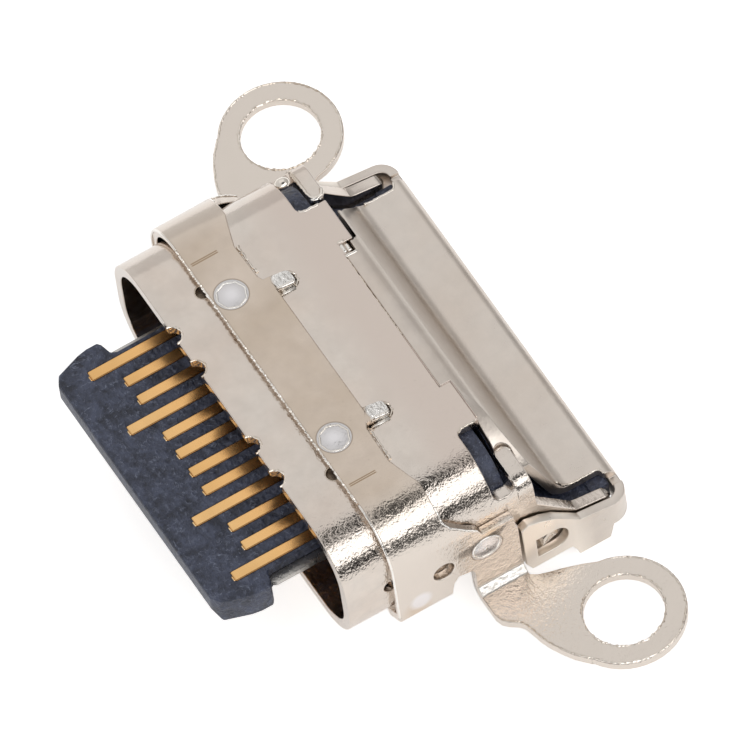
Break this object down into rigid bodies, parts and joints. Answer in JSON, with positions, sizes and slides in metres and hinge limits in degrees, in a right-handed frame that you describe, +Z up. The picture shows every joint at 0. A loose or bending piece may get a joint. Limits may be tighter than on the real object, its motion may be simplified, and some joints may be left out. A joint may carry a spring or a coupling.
{
  "type": "usb-c socket",
  "caption": "Mid-mount reversible socket: rounded sheet-metal shell round a thin contact tongue, a welded strap with flat screw ears, and a low folded rear cover.",
  "frame": {"origin": "middle of the part's width and depth, at the underside of the ground tabs", "axes": "+X across the width towards the right ear, +Y from the mouth to the rear, +Z up from the board"},
  "size_m": [0.0156, 0.0084, 0.0038],
  "materials": {
    "shell_nickel": "bright nickel plate",
    "bracket_nickel": "satin nickel plate, slightly warmer",
    "cover_nickel": "satin nickel plate",
    "tongue_plastic": "moulded, faintly mottled",
    "carrier_plastic": "moulded",
    "housing_plastic": "moulded",
    "plate_steel": "stamped",
    "spring_steel": "stamped",
    "contact_gold": "gold plate, satin"
  },
  "bodies": {
    "root": {"main_shell": "shell_nickel", "mounting_bracket": "bracket_nickel", "rear_cover": "cover_nickel", "tongue": "tongue_plastic", "upper_carrier": "carrier_plastic", "lower_carrier": "carrier_plastic", "mid_plate": "plate_steel", "upper_ground_plate": "spring_steel", "lower_ground_plate": "spring_steel", "rear_housing": "housing_plastic", "contact_a1": "contact_gold", "contact_a2": "contact_gold", "contact_a3": "contact_gold", "contact_a4": "contact_gold", "contact_a5": "contact_gold", "contact_a6": "contact_gold", "contact_a7": "contact_gold", "contact_a8": "contact_gold", "contact_a9": "contact_gold", "contact_a10": "contact_gold", "contact_a11": "contact_gold", "contact_a12": "contact_gold", "contact_b1": "contact_gold", "contact_b2": "contact_gold", "contact_b3": "contact_gold", "contact_b4": "contact_gold", "contact_b5": "contact_gold", "contact_b6": "contact_gold", "contact_b7": "contact_gold", "contact_b8": "contact_gold", "contact_b9": "contact_gold", "contact_b10": "contact_gold", "contact_b11": "contact_gold", "contact_b12": "contact_gold"}
  },
  "joints": []
}
